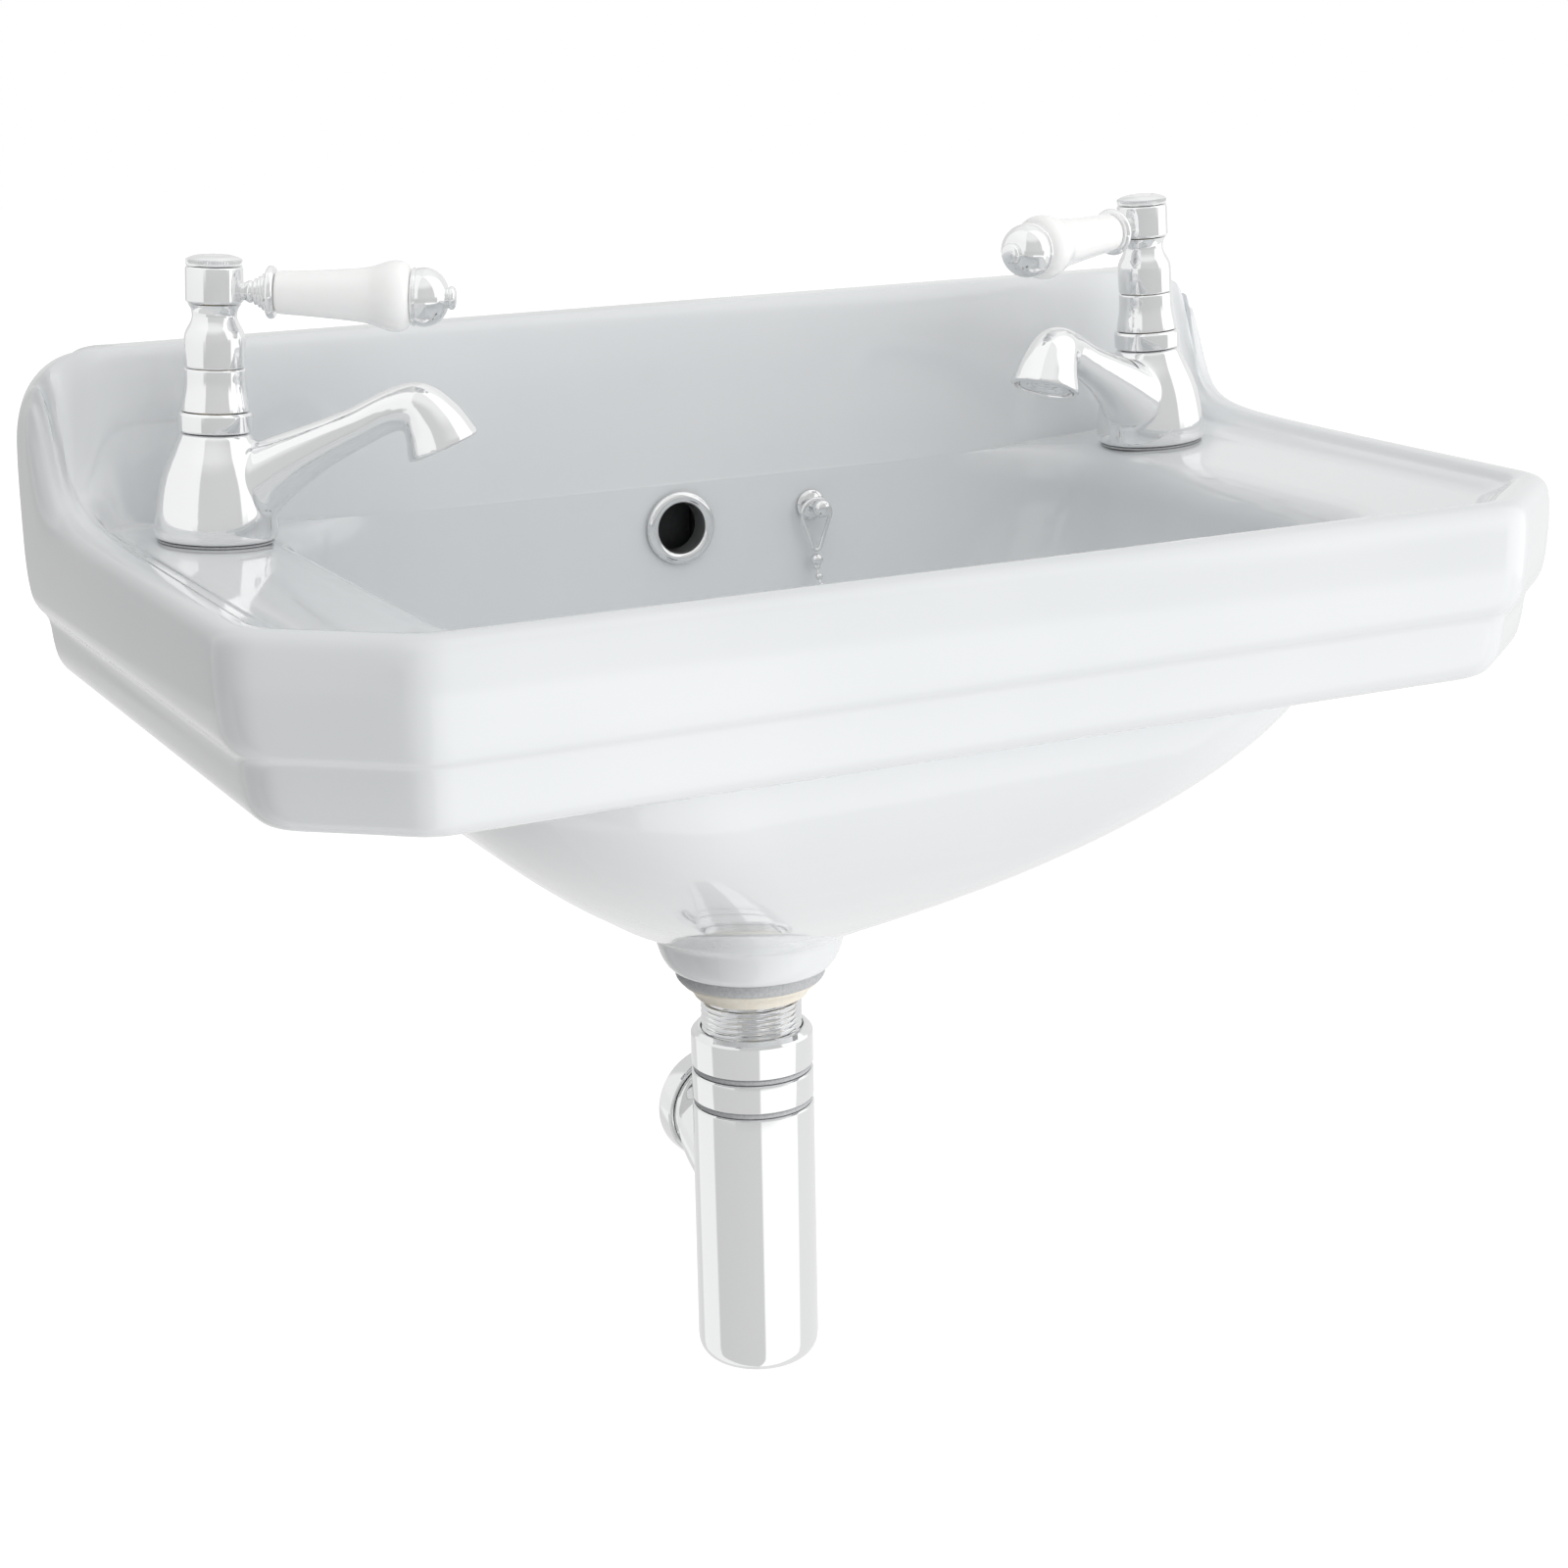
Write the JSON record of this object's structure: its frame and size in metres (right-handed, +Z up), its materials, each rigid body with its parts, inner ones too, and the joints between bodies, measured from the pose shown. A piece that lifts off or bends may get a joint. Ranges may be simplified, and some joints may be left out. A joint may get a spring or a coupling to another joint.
{
  "type": "wall-hung wash basin",
  "caption": "Small wall-hung ceramic wash basin with upstand, sloping tap decks, lever pillar taps, overflow, plug on a ball chain, slotted waste and bottle trap.",
  "frame": {"origin": "middle of the basin's flat back face at the height of its rim, where it meets the wall", "axes": "+Z up, +Y into the wall, the basin stands out towards -Y, +X to the right seen from the front"},
  "size_m": [0.53, 0.305, 0.4765],
  "materials": {
    "china": "white gloss glaze",
    "chrome": "polished chrome plate",
    "brass": "machined brass",
    "porcelain": "white glazed porcelain",
    "grey_rubber": "grey rubber",
    "black_rubber": "black rubber",
    "cream_plastic": "cream moulded plastic",
    "white_plastic": "white moulded plastic"
  },
  "bodies": {
    "basin_set": {"basin": "china", "overflow_ring": "chrome", "waste_flange": "chrome", "waste_tail": "chrome", "waste_flange_seal": "grey_rubber", "waste_lower_washer": "grey_rubber", "waste_back_nut": "cream_plastic", "trap_inlet_nut": "chrome", "trap_inlet_washer": "black_rubber", "trap_upper_seal": "grey_rubber", "trap_collar": "chrome", "trap_lower_seal": "grey_rubber", "trap_body": "chrome", "trap_dip_tube": "white_plastic", "trap_outlet_nut": "chrome", "trap_outlet_washer": "black_rubber", "chain_stay": "chrome", "chain_link": "chrome", "chain_connector": "chrome", "bead_chain": "chrome", "plug": "black_rubber", "left_tap_base_washer": "grey_rubber", "left_tap_casting": "chrome", "left_tap_nozzle": "chrome", "left_tap_collar": "chrome", "left_tap_lower_shroud": "chrome", "left_tap_sleeve_washer": "white_plastic", "left_tap_tail_nut": "brass", "left_tap_valve": "brass", "left_tap_upper_shroud": "chrome", "right_tap_base_washer": "grey_rubber", "right_tap_casting": "chrome", "right_tap_nozzle": "chrome", "right_tap_collar": "chrome", "right_tap_lower_shroud": "chrome", "right_tap_sleeve_washer": "white_plastic", "right_tap_tail_nut": "brass", "right_tap_valve": "brass", "right_tap_upper_shroud": "chrome"},
    "left_lever": {"left_tap_spindle": "brass", "left_tap_hub": "chrome", "left_tap_index_cap": "chrome", "left_tap_lever_stem": "chrome", "left_tap_lever_handle": "porcelain", "left_tap_lever_finial": "chrome"},
    "right_lever": {"right_tap_spindle": "brass", "right_tap_hub": "chrome", "right_tap_index_cap": "chrome", "right_tap_lever_stem": "chrome", "right_tap_lever_handle": "porcelain", "right_tap_lever_finial": "chrome"}
  },
  "joints": [
    {"name": "left_lever_turn", "type": "hinge", "parent": "basin_set", "child": "left_lever", "pos_m": [-0.20265, -0.068, 0.08435], "axis": [0.0576, 0, 0.9983], "range_deg": [-90, 0]},
    {"name": "right_lever_turn", "type": "hinge", "parent": "basin_set", "child": "right_lever", "pos_m": [0.20265, -0.068, 0.08435], "axis": [-0.0576, 0, 0.9983], "range_deg": [0, 90]}
  ]
}
